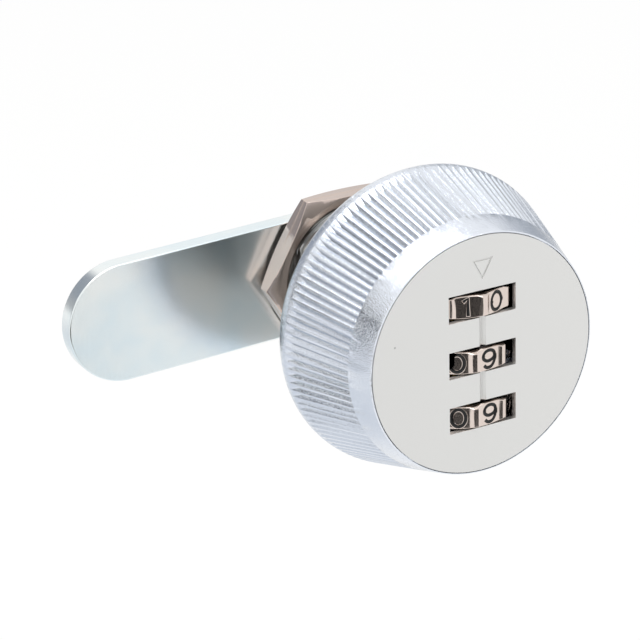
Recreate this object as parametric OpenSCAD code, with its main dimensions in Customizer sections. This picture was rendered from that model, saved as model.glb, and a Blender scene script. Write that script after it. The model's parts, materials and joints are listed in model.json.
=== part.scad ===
// Three-dial combination cam lock.
// The lock's axis is Y. The origin is where the axis meets the panel that the lock is fixed in, the face
// looks towards -Y and the cam lies behind the panel, at +Y. Millimetres, +Z up.
// At rest the cam points to -X, the knob is at its closed stop and the locking bar is drawn back.

/* [Knob] */
// Largest diameter of the knob, over the ridges
knob_d = 39.7; // [38.5:0.1:42]
// Depth of the knob, from the rim of the face to the rear edge
knob_depth = 16.1; // [15.6:0.1:18]
// Diameter of the knob where the ridges start
band_d = 33.6; // [33:0.1:35]
// Depth of the plain cone band in front of the ridges
band_depth = 3.65; // [3:0.05:4.5]
// Number of ridges round the knob
ridge_count = 120; // [90:1:130]
// Depth of the grooves between the ridges
ridge_depth = 0.36; // [0.2:0.01:0.45]
// Radius of the rounded rear edge, which the grooves run out in
edge_r = 3; // [2.4:0.1:3.2]
// Diameter of the round space inside the knob
cavity_d = 29.6; // [29.2:0.1:30]
// Thickness of the front wall behind the face plate
front_wall = 1.6; // [1.4:0.1:1.8]

/* [Face] */
// Diameter of the face plate
face_d = 31; // [30.4:0.1:31.4]
// Thickness of the face plate
face_t = 0.8; // [0.6:0.05:0.9]
// Width of a window
window_w = 9.5; // [9.2:0.1:10]
// Height of a window
window_h = 3.5; // [3.4:0.05:3.8]
// Width of the reference line between the windows
line_w = 0.95; // [0.6:0.05:1.2]
// Depth of the reference line
line_depth = 0.3; // [0.15:0.05:0.4]
// Width of the triangle mark
mark_w = 2.7; // [2:0.1:3.2]
// Height of the triangle mark
mark_h = 2.45; // [2:0.05:3]
// Height of the triangle's point above the lock's axis
mark_z = 10.05; // [9.4:0.05:10.6]

/* [Dials] */
// Distance from one dial to the next
dial_pitch = 7.3; // [7.1:0.05:7.5]
// Height of the middle window above the lock's axis
window_mid_z = -0.6; // [-0.8:0.05:-0.4]
// Distance that the dials sit below the middle of their windows
dial_drop = 0.12; // [0:0.01:0.15]
// Thickness of a number wheel
wheel_t = 3.1; // [2.9:0.05:3.2]
// Distance from the shaft to a wheel's flats
flat_r = 6.78; // [6.6:0.01:6.85]
// Distance from the shaft to the top of a wheel's ribs
rib_r = 7.25; // [7.1:0.01:7.3]
// Width of a rib at its top
rib_w = 0.8; // [0.6:0.05:1]
// Depth of the shaft behind the face
shaft_depth = 6.58; // [6.5:0.01:6.8]
// Diameter of the shaft
shaft_d = 3; // [2.6:0.1:3.4]
// Diameter of a sleeve's hub, inside the wheel
hub_d = 5.4; // [5.2:0.1:5.8]
// Diameter of a sleeve's gate disc
gate_d = 7.8; // [7.4:0.1:7.9]
// Thickness of a gate disc
gate_t = 1.2; // [1:0.05:1.3]

/* [Locking bar] */
// Travel of the locking bar
bar_travel = 1.1; // [0.9:0.05:1.1]
// Thickness of the bar, across
bar_t = 1.8; // [1.6:0.05:1.9]
// Height of the nose that enters the base
nose_h = 4; // [3:0.1:5]

/* [Base] */
// Diameter of the seat flange
seat_d = 34.6; // [34:0.1:34.9]
// Thickness of the seat flange behind the knob
seat_t = 1.9; // [1.7:0.1:2.4]
// Diameter of the threaded barrel
barrel_d = 19; // [18:0.1:19.4]
// Distance across the barrel's two flats
barrel_flats = 16; // [15.8:0.1:17]
// Length of the barrel behind the panel face
barrel_l = 17; // [16.2:0.1:22]
// Distance across the flats of the nut
nut_af = 22; // [21.5:0.1:24]
// Thickness of the nut
nut_t = 3.2; // [2.6:0.1:4]
// Length of the barrel that stands out behind the nut
nut_inset = 0.25; // [0:0.05:4]

/* [Cam] */
// Distance from the axis to the tip of the cam
cam_reach = 39.3; // [25:0.1:60]
// Width of the cam
cam_w = 16; // [14:0.1:20]
// Thickness of the cam
cam_t = 2.5; // [2:0.1:3]
// Degrees that the cam has sunk, within the play of its square hole
cam_lean = 2; // [0:0.1:2]
// Side of the spindle's square
square_w = 8; // [7:0.1:8.4]
// Diameter of the spindle
spindle_d = 11; // [10.4:0.1:11]
// Diameter of the cam screw
screw_d = 5; // [4:0.1:6]

/* [Clearances] */
// Gap between pieces that turn past each other
run_gap = 0.3; // [0.2:0.05:0.35]
// Radial gap of a shaft in its bore
bore_gap = 0.05; // [0.02:0.01:0.08]
// Gap round a piece that is fitted and stays still
fit_gap = 0.02; // [0.01:0.005:0.03]
// Play of the cam's square hole on each side of the square
cam_play = 0.15; // [0.14:0.01:0.2]

/* [Hidden] */
$fn = 96;
past = 1;                                    // how far a cut runs past a face

// Places along the axis, from the front to the rear
face_y = -(knob_depth + seat_t);             // front of the face plate
wall_y = face_y + face_t;                    // front of the front wall
inside_y = wall_y + front_wall;              // rear of the front wall
knob_back_y = -seat_t;                       // rear edge of the knob
cover_t = 1.6;
cover_back_y = -seat_t - run_gap;
cover_y = cover_back_y - cover_t;            // front of the back cover
ring_over = 0.8;                             // the base's ring stands in front of the cover by this
ring_y = cover_y - ring_over;                // front of the base's ring
recess_y = ring_y - run_gap;                 // bottom of the knob's rear recess
lip_t = 0.5;                                 // lip in the knob that the cover seats on
shaft_y = face_y + shaft_depth;

// Cone of the knob: it runs from the plain band to the rounded rear edge without a corner between them
edge_deg = 30;                               // where the rounding ends at the rear face
edge_mid_r = knob_d / 2 - edge_r;
edge_mid_y = knob_back_y - edge_r * sin(edge_deg);
band_y = face_y + band_depth;
cone_deg = atan2(edge_mid_r - band_d / 2, edge_mid_y - band_y)
    + asin(edge_r / norm([edge_mid_r - band_d / 2, edge_mid_y - band_y]));

// Radii round the lock's axis
ring_wall = 1.4;
ring_r = seat_d / 2;
ring_in_r = ring_r - ring_wall;
recess_r = ring_r + run_gap;
cover_r = ring_in_r - run_gap;
rim_w = 0.25;                                // rim of the knob round the face plate
rim_r = face_d / 2 + rim_w;
plate_gap = 0.08;                            // hairline round the face plate

// Dials, from the top one down
window_z = [for (i = [1, 0, -1]) window_mid_z + i * dial_pitch];
dial_z = [for (z = window_z) z - dial_drop];
slot_gap = 0.2;                              // the slots behind the windows are larger by this
digits = 10;
gate_gap = 0.15;                             // between a wheel and its gate disc
disc_top = -wheel_t / 2 - gate_gap;          // gate disc, from the middle of its wheel
disc_z = disc_top - gate_t;
hub_over = 0.05;                             // the hub stands over the wheel by this
// Turn of each dial: the top one rests half-way between two numbers, the others a little past a number
dial_turn = [18, 7, 8];
key_w = 1.2;
key_h = 0.6;
gate_depth = 0.9;

// Dial carrier
carrier_t = 1.3;
carrier_back_y = inside_y + carrier_t;
carrier_r = cavity_d / 2 - run_gap;
carrier_x = 9.9;
cheek_gap = 0.2;                             // between a cheek and the dial beside it
// Two cheeks in the space that the cavity leaves above and below the dials
stack_low_z = dial_z[2] + disc_z - cheek_gap;
cheek_t = (carrier_r + stack_low_z) / 2;
top_cheek_z = dial_z[0] + wheel_t / 2 + hub_over + cheek_gap;
low_cheek_z = stack_low_z - cheek_t;
cheek_w = 1.6 * sqrt(pow(carrier_r, 2) - pow(low_cheek_z, 2));
rail_t = 0.9;
rail_h = 10;

// Comb spring beside the wheels
leaf_t = 0.25;
leaf_h = 2.2;
leaf_strip = 1.6;                            // width of the strip that the leaves stand on
leaf_bend = 1;                               // depth of each half of a bent leaf
leaf_gap = 0.2;                              // between the tip of a leaf and the ribs

// Locking bar
bar_x = rib_r + run_gap + bar_t / 2;         // middle of the bar, beside the wheels
bar_end_gap = 0.2;                           // between the bar and the cover, bar pushed home
bar_back_y = cover_y - bar_end_gap - bar_travel;   // rear of the bar, drawn back
bar_len = 3.5;
bar_front_y = bar_back_y - bar_len;
finger_gap = 0.15;                           // between a finger and its gate disc, bar drawn back
finger_y = shaft_y + gate_d / 2 + finger_gap;
finger_h = gate_t - 0.2;
finger_x = -1;                               // inner end of a finger
bar_top_z = dial_z[0] + disc_top;
bar_low_z = dial_z[2] + disc_z - 0.1;
nose_z = (bar_top_z + bar_low_z) / 2;
nose_tip_y = cover_back_y - 0.1;
notch_gap = 0.15;
notch_depth = bar_travel + 0.2;
post_r = 0.45;
post_apart = 10.4;
post_z = [nose_z + post_apart / 2, nose_z - post_apart / 2];
bar_spring_r = 0.72;
bar_wire = 0.26;

// Screws of the back cover
boss_r = 1.6;
boss_x = 11.6;
boss_z = 6.6;
boss_at = [for (i = [-1, 1], j = [-1, 1]) [i * boss_x, j * boss_z]];
cover_screw_r = 0.95;
cover_screw_l = 6;
cover_head_r = 1.8;
cover_head_t = 0.9;

// Click of the knob
ball_r = 1.25;
ball_x = -12.2;
ball_y = knob_back_y - bore_gap - ball_r;
cup_wall = 0.85;
cup_r = ball_r + cup_wall;
cup_floor = 3.6;
cup_y = inside_y + cup_floor;                // bottom of the spring's hole
dimple_depth = 0.45;
click_wire = 0.35;
click_spring_r = ball_r - 0.3;
click_seat = 0.95;                           // where the ball rests in the spring, from its middle

// Spindle and what it carries, behind the panel
nut_y = barrel_l - nut_inset - nut_t;
spindle_r = spindle_d / 2;
shoulder_r = 6.8;
shoulder_t = 1.8;
sink_r = 7.2;                                // recess in the rear end of the barrel
sink_depth = 4.2;
sink_y = barrel_l - sink_depth;
clip_y = sink_y + 0.15;
clip_t = 0.8;
clip_depth = 0.6;
washer_t = 0.9;
cam_y = barrel_l + run_gap;
stop_y = cam_y - washer_t;
lug_y = clip_y + clip_t + 0.4;
lug_r = spindle_r + 0.35;
tab_deg = 30;                                // width of the stop tab
stop_slack = 0.5;                            // degrees left at each stop
// The tab stands at the left at rest and turns clockwise, so the lug takes up the rest of the circle
tab_mid = 180;
stop_to = tab_mid + 360 - tab_deg / 2 - 90 - stop_slack;
stop_from = tab_mid + tab_deg / 2 + stop_slack;
square_short = 0.2;                          // the square ends this much inside the cam
square_end_y = cam_y + cam_t - square_short;
screw_r = screw_d / 2;
thread_depth = 11;
thread_y = cam_y - thread_depth;             // bottom of the spindle's threaded hole
lock_washer_t = 1;
screw_head_af = 10;
screw_head_t = 3.5;
hex_face = 0.96;                             // plain end of a hexagon, as a share of its width across flats
corner_deg = 30;                             // angle at which the corners of a hexagon are turned off

// A point on a circle in the plane seen from the front
function on_circle(r, a) = [r * cos(a), r * sin(a)];

// A solid of revolution round the lock's axis; the outline holds [radius, y]
module turned(outline) {
    rotate([-90, 0, 0]) rotate_extrude() polygon(outline);
}

// A round bar along the lock's axis
module rod_y(r, y0, y1) {
    translate([0, y0, 0]) rotate([-90, 0, 0]) cylinder(r = r, h = y1 - y0);
}

// An outline seen from the front (X right, Z up), as a plate from y0 to y1
module plate_y(y0, y1) {
    translate([0, y1, 0]) rotate([90, 0, 0]) linear_extrude(y1 - y0) children();
}

// A box given by its two corners
module block(low, high) {
    translate(low) cube(high - low);
}

// A square with its corners on a circle, as on the spindle and in what sits on it
module rounded_square(w, r) {
    intersection() {
        square(w, center = true);
        circle(r);
    }
}

// A sector of a ring, from angle a0 to a1, seen from the front
module ring_sector(r_in, r_out, a0, a1) {
    mid = r_out * 2;
    step = (a1 - a0) / 6;
    intersection() {
        difference() {
            circle(r_out);
            circle(r_in);
        }
        polygon(concat([[0, 0]], [for (i = [0:6]) on_circle(mid, a0 + i * step)]));
    }
}

// A coil spring along Y: r is the middle of the wire, w the wire's diameter
module coil_y(r, w, y0, y1, turns) {
    around = 12;
    sides = 6;
    rings = turns * around;
    span = y1 - y0 - w;
    mids = [for (i = [0:rings])
        [r * cos(360 * i / around), y0 + w / 2 + span * i / rings, r * sin(360 * i / around)]];
    points = [for (i = [0:rings], j = [0:sides - 1])
        let (a = 360 * i / around, b = 360 * j / sides, out = w / 2 * cos(b))
        mids[i] + [out * cos(a), w / 2 * sin(b), out * sin(a)]];
    walls = [for (i = [0:rings - 1], j = [0:sides - 1])
        let (k = (j + 1) % sides)
        [i * sides + j, i * sides + k, (i + 1) * sides + k, (i + 1) * sides + j]];
    first = [for (j = [0:sides - 1]) sides - 1 - j];
    last = [for (j = [0:sides - 1]) rings * sides + j];
    polyhedron(points = points, faces = concat(walls, [first], [last]));
}

/* Base */

// Seat flange, locating ring and threaded barrel with two flats, one casting
module base_body() {
    color("#8d8f90") difference() {
        union() {
            turned([[spindle_r + 0.01, -seat_t], [ring_in_r, -seat_t], [ring_in_r, ring_y],
                    [ring_r, ring_y], [ring_r, 0], [spindle_r + 0.01, 0]]);
            plate_y(-past / 2, barrel_l) intersection() {
                circle(d = barrel_d);
                square([barrel_flats, barrel_d + past], center = true);
            }
        }
        rod_y(spindle_r + bore_gap, -seat_t - past, barrel_l + past);
        rod_y(shoulder_r + run_gap, -seat_t - past, cover_back_y + shoulder_t + run_gap);
        barrel_recess();
        for (turn = [0, 90]) rotate([0, turn, 0]) {
            nose_notch();
            translate([ball_x, -seat_t - ball_r + dimple_depth, 0]) sphere(r = ball_r);
        }
    }
}

// Recess in the barrel's rear end, with the lug that stops the turn left standing
module barrel_recess() {
    difference() {
        rod_y(sink_r, sink_y, barrel_l + past);
        plate_y(lug_y, stop_y - 0.1) ring_sector(lug_r, sink_r + past, stop_from, stop_to);
    }
}

// Pocket that the nose of the locking bar enters
module nose_notch() {
    block([bar_x - bar_t / 2 - notch_gap, -seat_t - past, nose_z - nose_h / 2 - notch_gap],
          [bar_x + bar_t / 2 + notch_gap, -seat_t + notch_depth - 0.3, nose_z + nose_h / 2 + notch_gap]);
}

// Hexagon with corners left and right; the corners of its rear end are turned off
module hexagon_y(across, y0, y1) {
    corner_r = across / sqrt(3);
    face_r = across / 2 * hex_face;
    fall = (corner_r + past - face_r) * tan(corner_deg);
    intersection() {
        translate([0, y0, 0]) rotate([-90, 0, 0]) cylinder(r = corner_r, h = y1 - y0, $fn = 6);
        turned([[0, y0], [corner_r + past, y0], [corner_r + past, y1 - fall], [face_r, y1], [0, y1]]);
    }
}

// Flat hex nut, its chamfered side towards the panel
module hex_nut() {
    color("#8a7b72") difference() {
        rotate([180, 0, 0]) hexagon_y(nut_af, -nut_y - nut_t, -nut_y);
        rod_y(barrel_d / 2 + fit_gap, nut_y - past, nut_y + nut_t + past);
    }
}

/* Knob */

// Cone outline of the knob, from the rim of the face to the rounded rear edge
function knob_outline() =
    let (steps = 8)
    concat([[rim_r - rim_w / 2, face_y], [rim_r, face_y + rim_w / 2], [band_d / 2, band_y]],
           [for (i = [0:steps])
               let (a = -cone_deg + (cone_deg + edge_deg) * i / steps)
               [edge_mid_r + edge_r * cos(a), edge_mid_y + edge_r * sin(a)]]);

// One groove between two ridges: a V cut along the cone, square in front and run out in the rear rounding
module ridge_groove() {
    open = 0.3;
    half = ridge_depth + open;
    translate([band_d / 2, band_y, 0])
        rotate([0, 0, -cone_deg])
            rotate([-90, 0, 0])
                linear_extrude(knob_depth)
                    polygon([[-ridge_depth, 0], [open, half], [open, -half]]);
}

// Knob: die-cast shell with a straight-ridged grip, screw bosses and the cup of the click spring
module knob_shell() {
    in_r = cavity_d / 2;
    color("#c4c8cb") difference() {
        union() {
            difference() {
                turned(concat([[0, face_y]], knob_outline(), [[0, knob_back_y]]));
                rod_y(face_d / 2 + plate_gap, face_y - past, wall_y);
                rod_y(in_r, inside_y, knob_back_y + past);
                rod_y(recess_r, recess_y, knob_back_y + past);
                for (i = [0:ridge_count - 1]) rotate([0, i * 360 / ridge_count, 0]) ridge_groove();
            }
            // lip that the back cover seats on
            turned([[in_r, recess_y - lip_t], [cover_r, recess_y - lip_t], [cover_r, cover_y], [in_r, cover_y]]);
            for (p = boss_at) translate([p[0], 0, p[1]]) rod_y(boss_r, inside_y - 0.2, cover_y);
            translate([ball_x, 0, 0]) rod_y(cup_r, inside_y - 0.2, cover_y);
        }
        for (z = window_z) wheel_slot(z);
        for (p = boss_at) translate([p[0], 0, p[1]])
            rod_y(cover_screw_r + fit_gap, cover_y - cover_screw_l, cover_y + past);
        translate([ball_x, 0, 0]) rod_y(ball_r + bore_gap, cup_y, cover_y + past);
    }
}

// Slot in the front wall that a number wheel stands in
module wheel_slot(z) {
    depth = shaft_y - inside_y;
    half_w = sqrt(pow(rib_r, 2) - pow(depth, 2)) + run_gap;
    half_h = window_h / 2 + slot_gap;
    block([-half_w, wall_y - past, z - half_h], [half_w, inside_y + past, z + half_h]);
}

// Face plate: thin disc with three windows, the reference line and the triangle mark
module face_plate() {
    r = face_d / 2;
    edge = 0.12;
    color("#e1e1e0") difference() {
        turned([[0, face_y], [r - edge, face_y], [r, face_y + edge], [r, wall_y], [0, wall_y]]);
        for (z = window_z)
            block([-window_w / 2, face_y - past, z - window_h / 2],
                  [window_w / 2, wall_y + past, z + window_h / 2]);
        block([-line_w / 2, face_y - past, window_z[2]], [line_w / 2, face_y + line_depth, window_z[0]]);
        plate_y(face_y - past, face_y + 0.1) mark_outline();
    }
}

// Outline of the triangle mark, point down, as a line 0.2 wide
module mark_outline() {
    line = 0.2;
    // the inner triangle keeps the same distance from all three sides
    side = sqrt(pow(mark_w / 2, 2) + pow(mark_h, 2));
    inner_w = mark_w - 2 * line * (side + mark_w / 2) / mark_h;
    tip_up = line * side / (mark_w / 2);
    difference() {
        polygon([[0, mark_z], [mark_w / 2, mark_z + mark_h], [-mark_w / 2, mark_z + mark_h]]);
        polygon([[0, mark_z + tip_up], [inner_w / 2, mark_z + mark_h - line],
                 [-inner_w / 2, mark_z + mark_h - line]]);
    }
}

/* Dials */

// Outline of a number wheel: ten flats with a flat-topped rib between each two, digit 0 towards -Y
module wheel_outline() {
    step = 360 / digits;
    corner_r = flat_r / cos(step / 2);
    foot = rib_w / 2 + rib_r - flat_r;
    circle(r = corner_r, $fn = digits);
    for (i = [0:digits - 1]) rotate(i * step)
        polygon([[flat_r - past, -foot - 0.2], [flat_r - 0.05, -foot], [rib_r, -rib_w / 2],
                 [rib_r, rib_w / 2], [flat_r - 0.05, foot], [flat_r - past, foot + 0.2]]);
}

// A number wheel at the origin; the middle of a flat lies towards -Y
module dial_wheel() {
    half = wheel_t / 2;
    chamfer = 0.3;
    color("#b9aca4") difference() {
        intersection() {
            translate([0, 0, -half]) linear_extrude(wheel_t)
                rotate(-90 + 180 / digits) wheel_outline();
            rotate_extrude() polygon([[0, -half], [flat_r - chamfer, -half], [rib_r + past, -half + 0.75],
                                      [rib_r + past, half - 0.75], [flat_r - chamfer, half], [0, half]]);
        }
        translate([0, 0, -half - past]) cylinder(d = hub_d + 2 * bore_gap, h = wheel_t + 2 * past);
        translate([0, -key_w / 2 - bore_gap, -half - past])
            cube([hub_d / 2 + key_h + bore_gap, key_w + 2 * bore_gap, wheel_t + 2 * past]);
    }
}

// A gate sleeve at the origin of its wheel: keyed hub and the disc with the gate, gate towards +Y
module gate_sleeve() {
    hub_top = wheel_t / 2 + hub_over;
    color("#c9b27a") difference() {
        union() {
            translate([0, 0, disc_z]) cylinder(d = hub_d, h = hub_top - disc_z);
            translate([0, 0, disc_z]) cylinder(d = gate_d, h = gate_t);
            translate([0, -key_w / 2, disc_z]) cube([hub_d / 2 + key_h, key_w, wheel_t / 2 - disc_z]);
        }
        translate([0, 0, disc_z - past]) cylinder(d = shaft_d + 2 * bore_gap, h = hub_top - disc_z + 2 * past);
        translate([-finger_h, gate_d / 2 - gate_depth, disc_z - past])
            cube([2 * finger_h, gate_d, gate_t + past + gate_gap / 2]);
    }
}

module at_dial(i) {
    translate([0, shaft_y, dial_z[i]]) children();
}

// Shaft through the three dials, held in the carrier's cheeks
module dial_shaft() {
    color("#a9adb0") translate([0, shaft_y, low_cheek_z])
        cylinder(d = shaft_d, h = top_cheek_z + cheek_t - low_cheek_z);
}

// Spacer tube between sleeve i and the gate disc above it
module dial_spacer(i) {
    low = dial_z[i] + wheel_t / 2 + hub_over + bore_gap;
    high = dial_z[i - 1] + disc_z - bore_gap;
    color("#c9b27a") translate([0, shaft_y, low]) difference() {
        cylinder(d = shaft_d + 1.8, h = high - low);
        translate([0, 0, -past]) cylinder(d = shaft_d + 2 * bore_gap, h = high - low + 2 * past);
    }
}

// Carrier: front plate with one long opening, two cheeks for the shaft, rail for the leaf spring, bar posts
module dial_carrier() {
    open_x = sqrt(pow(rib_r, 2) - pow(shaft_y - carrier_back_y, 2)) + run_gap;
    color("#9da1a4") difference() {
        union() {
            plate_y(inside_y, carrier_back_y) difference() {
                intersection() {
                    circle(carrier_r);
                    square([2 * carrier_x, 2 * carrier_r], center = true);
                }
                translate([-open_x, low_cheek_z + cheek_t])
                    square([2 * open_x, top_cheek_z - low_cheek_z - cheek_t]);
            }
            for (z = [top_cheek_z, low_cheek_z])
                block([-cheek_w / 2, inside_y, z], [cheek_w / 2, cover_y - fit_gap, z + cheek_t]);
            block([-carrier_x, inside_y, -rail_h / 2], [-carrier_x + rail_t, shaft_y - 1, rail_h / 2]);
            for (z = post_z) translate([bar_x, 0, z]) rod_y(post_r, inside_y, bar_back_y - 0.9);
        }
        translate([0, shaft_y, low_cheek_z - past])
            cylinder(r = shaft_d / 2 + fit_gap, h = top_cheek_z + cheek_t - low_cheek_z + 2 * past);
    }
}

// Comb of three leaf springs: a strip on the carrier's rail and a bent tongue beside each wheel
module detent_leaf() {
    t = leaf_t;
    x0 = -carrier_x + rail_t + fit_gap;
    strip_y = carrier_back_y + leaf_strip;
    hole_z = rail_h / 3;
    tip_x = -rib_r - leaf_gap;
    knee_y = strip_y + 1.4 * leaf_bend;
    tip_y = knee_y + leaf_bend;
    end_y = tip_y + 1.2 * leaf_bend;
    color("#b7bbbd") {
        difference() {
            block([x0, carrier_back_y, dial_z[2] - leaf_h / 2], [x0 + t, strip_y, dial_z[0] + leaf_h / 2]);
            for (z = [-hole_z, hole_z]) translate([x0 - past, strip_y - leaf_strip / 2, z]) rotate([0, 90, 0])
                cylinder(d = leaf_strip / 2, h = t + 2 * past);
        }
        for (z = dial_z) translate([0, 0, z - leaf_h / 2]) linear_extrude(leaf_h)
            polygon([[x0, strip_y - leaf_strip / 3], [x0 + t, strip_y - leaf_strip / 3], [x0 + t, knee_y],
                     [tip_x, tip_y], [x0 + t, end_y], [x0, end_y],
                     [tip_x - t * 1.4, tip_y], [x0, knee_y]]);
    }
}

/* Locking bar */

// Bar beside the wheels with a finger behind each gate disc and the nose that enters the base
module locking_bar() {
    x0 = bar_x - bar_t / 2;
    x1 = bar_x + bar_t / 2;
    color("#b08d57") difference() {
        union() {
            block([x0, bar_front_y, bar_low_z], [x1, bar_back_y, bar_top_z]);
            for (z = dial_z)
                block([finger_x, finger_y, z + disc_z + 0.1],
                      [x0 + 0.5, bar_back_y, z + disc_z + 0.1 + finger_h]);
            block([x0, bar_back_y - 0.5, nose_z - nose_h / 2], [x1, nose_tip_y, nose_z + nose_h / 2]);
        }
        for (z = post_z) translate([bar_x, 0, z]) rod_y(post_r + 0.1, bar_front_y - past, bar_back_y + past);
    }
}

// Spring on a post of the carrier, drawn as it is with the bar drawn back
module bar_spring(i) {
    color("#d0d3d5") translate([bar_x, 0, post_z[i]])
        coil_y(bar_spring_r, bar_wire, carrier_back_y + fit_gap, bar_front_y - fit_gap, 7);
}

/* Back of the knob */

// Cover that closes the knob and carries the spindle
module back_cover() {
    color("#a9adb0") difference() {
        rod_y(cover_r - fit_gap, cover_y, cover_back_y);
        plate_y(cover_y - past, cover_back_y + past) rounded_square(square_w + 2 * fit_gap, spindle_r);
        block([bar_x - bar_t / 2 - notch_gap, cover_y - past, nose_z - nose_h / 2 - notch_gap],
              [bar_x + bar_t / 2 + notch_gap, cover_back_y + past, nose_z + nose_h / 2 + notch_gap]);
        translate([ball_x, 0, 0]) rod_y(ball_r + bore_gap, cover_y - past, cover_back_y + past);
        for (p = boss_at) translate([p[0], 0, p[1]]) {
            rod_y(cover_screw_r + bore_gap, cover_y - past, cover_back_y + past);
            turned([[0, cover_back_y - cover_head_t - bore_gap], [cover_screw_r, cover_back_y - cover_head_t - bore_gap],
                    [cover_head_r + bore_gap, cover_back_y], [cover_head_r + bore_gap, cover_back_y + past],
                    [0, cover_back_y + past]]);
        }
    }
}

// Four countersunk screws of the back cover
module cover_screws() {
    color("#8f9396") for (p = boss_at) translate([p[0], 0, p[1]]) difference() {
        turned([[0, cover_y - cover_screw_l + 0.6], [cover_screw_r, cover_y - cover_screw_l + 0.6],
                [cover_screw_r, cover_back_y - cover_head_t], [cover_head_r, cover_back_y - 0.05],
                [0, cover_back_y - 0.05]]);
        block([-1.3, cover_back_y - 0.4, -0.2], [1.3, cover_back_y + past, 0.2]);
    }
}

// Ball of the click, in the cover's hole, just clear of the base
module detent_ball() {
    color("#e0e2e4") translate([ball_x, ball_y, 0]) sphere(r = ball_r);
}

// Spring of the click, in the knob's cup
module detent_spring() {
    color("#d0d3d5") translate([ball_x, 0, 0])
        coil_y(click_spring_r, click_wire, cup_y + fit_gap, ball_y - click_seat, 8);
}

/* Spindle */

// Spindle: staked square, shoulder, round shaft with a ring groove, rear square and threaded hole
module spindle() {
    color("#9a9fa2") difference() {
        union() {
            plate_y(cover_y, cover_back_y) rounded_square(square_w, spindle_r - fit_gap);
            rod_y(shoulder_r, cover_back_y, cover_back_y + shoulder_t);
            rod_y(spindle_r, cover_back_y + shoulder_t - 0.2, stop_y - 0.1);
            plate_y(stop_y - 0.3, square_end_y) rounded_square(square_w, spindle_r);
        }
        difference() {
            rod_y(spindle_r + past, clip_y, clip_y + clip_t + 0.1);
            rod_y(spindle_r - clip_depth, clip_y - past, clip_y + clip_t + past);
        }
        rod_y(screw_r + bore_gap, thread_y, square_end_y + past);
    }
}

// Open snap ring in the spindle's groove
module retaining_ring() {
    color("#6f7376") plate_y(clip_y + fit_gap, clip_y + clip_t) difference() {
        circle(sink_r - run_gap);
        circle(spindle_r - clip_depth + fit_gap);
        translate([0, -sink_r]) square([2.4, 2 * sink_r], center = true);
    }
}

// Washer on the square, with the tab that stops the turn at both ends
module stop_washer() {
    color("#a3a7aa") {
        plate_y(stop_y, cam_y) difference() {
            circle(sink_r - run_gap);
            rounded_square(square_w + 2 * bore_gap, spindle_r + bore_gap);
        }
        plate_y(lug_y + 0.1, stop_y + 0.1)
            ring_sector(lug_r, sink_r - run_gap, tab_mid - tab_deg / 2, tab_mid + tab_deg / 2);
    }
}

// Cam: flat straight tongue with round ends and a square hole, its tip a little lower than the axis
module cam() {
    r = cam_w / 2;
    color("#a9bac2") rotate([0, -cam_lean, 0]) plate_y(cam_y, cam_y + cam_t) difference() {
        union() {
            circle(r);
            translate([-(cam_reach - r), -r]) square([cam_reach - r, cam_w]);
            translate([-(cam_reach - r), 0]) circle(r);
        }
        rounded_square(square_w + 2 * cam_play, spindle_r + cam_play);
    }
}

// Plain washer under the cam screw
module cam_washer() {
    y = cam_y + cam_t;
    color("#a3a7aa") difference() {
        rod_y(spindle_r + 1.3, y, y + lock_washer_t);
        rod_y(screw_r + 0.2, y - past, y + lock_washer_t + past);
    }
}

// Hex screw that holds the cam
module cam_screw() {
    y = cam_y + cam_t + lock_washer_t;
    color("#9a9fa2") {
        hexagon_y(screw_head_af, y, y + screw_head_t);
        rod_y(screw_r, thread_y + 1, y + screw_head_t / 2);
    }
}

base_body();
hex_nut();
knob_shell();
face_plate();
dial_carrier();
back_cover();
cover_screws();
dial_shaft();
dial_spacer(1);  // dial_spacer_1
dial_spacer(2);  // dial_spacer_2
detent_leaf();
bar_spring(0);  // bar_spring_1
bar_spring(1);  // bar_spring_2
detent_ball();
detent_spring();
spindle();
retaining_ring();
stop_washer();
cam();
cam_washer();
cam_screw();
at_dial(0) rotate(dial_turn[0]) dial_wheel();  // dial_wheel_1
at_dial(0) rotate(dial_turn[0]) gate_sleeve();  // gate_sleeve_1
at_dial(1) rotate(dial_turn[1]) dial_wheel();  // dial_wheel_2
at_dial(1) rotate(dial_turn[1]) gate_sleeve();  // gate_sleeve_2
at_dial(2) rotate(dial_turn[2]) dial_wheel();  // dial_wheel_3
at_dial(2) rotate(dial_turn[2]) gate_sleeve();  // gate_sleeve_3
locking_bar();
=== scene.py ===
"""Three-dial combination cam lock, dressed for the render.

The lock's axis is Y, the face looks towards -Y and the cam lies behind, at +Y. Sizes are in metres in
Blender and in millimetres where a name ends in _mm or is multiplied by MM.
"""
import json
import math

import bpy
from mathutils import Matrix, Vector


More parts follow.
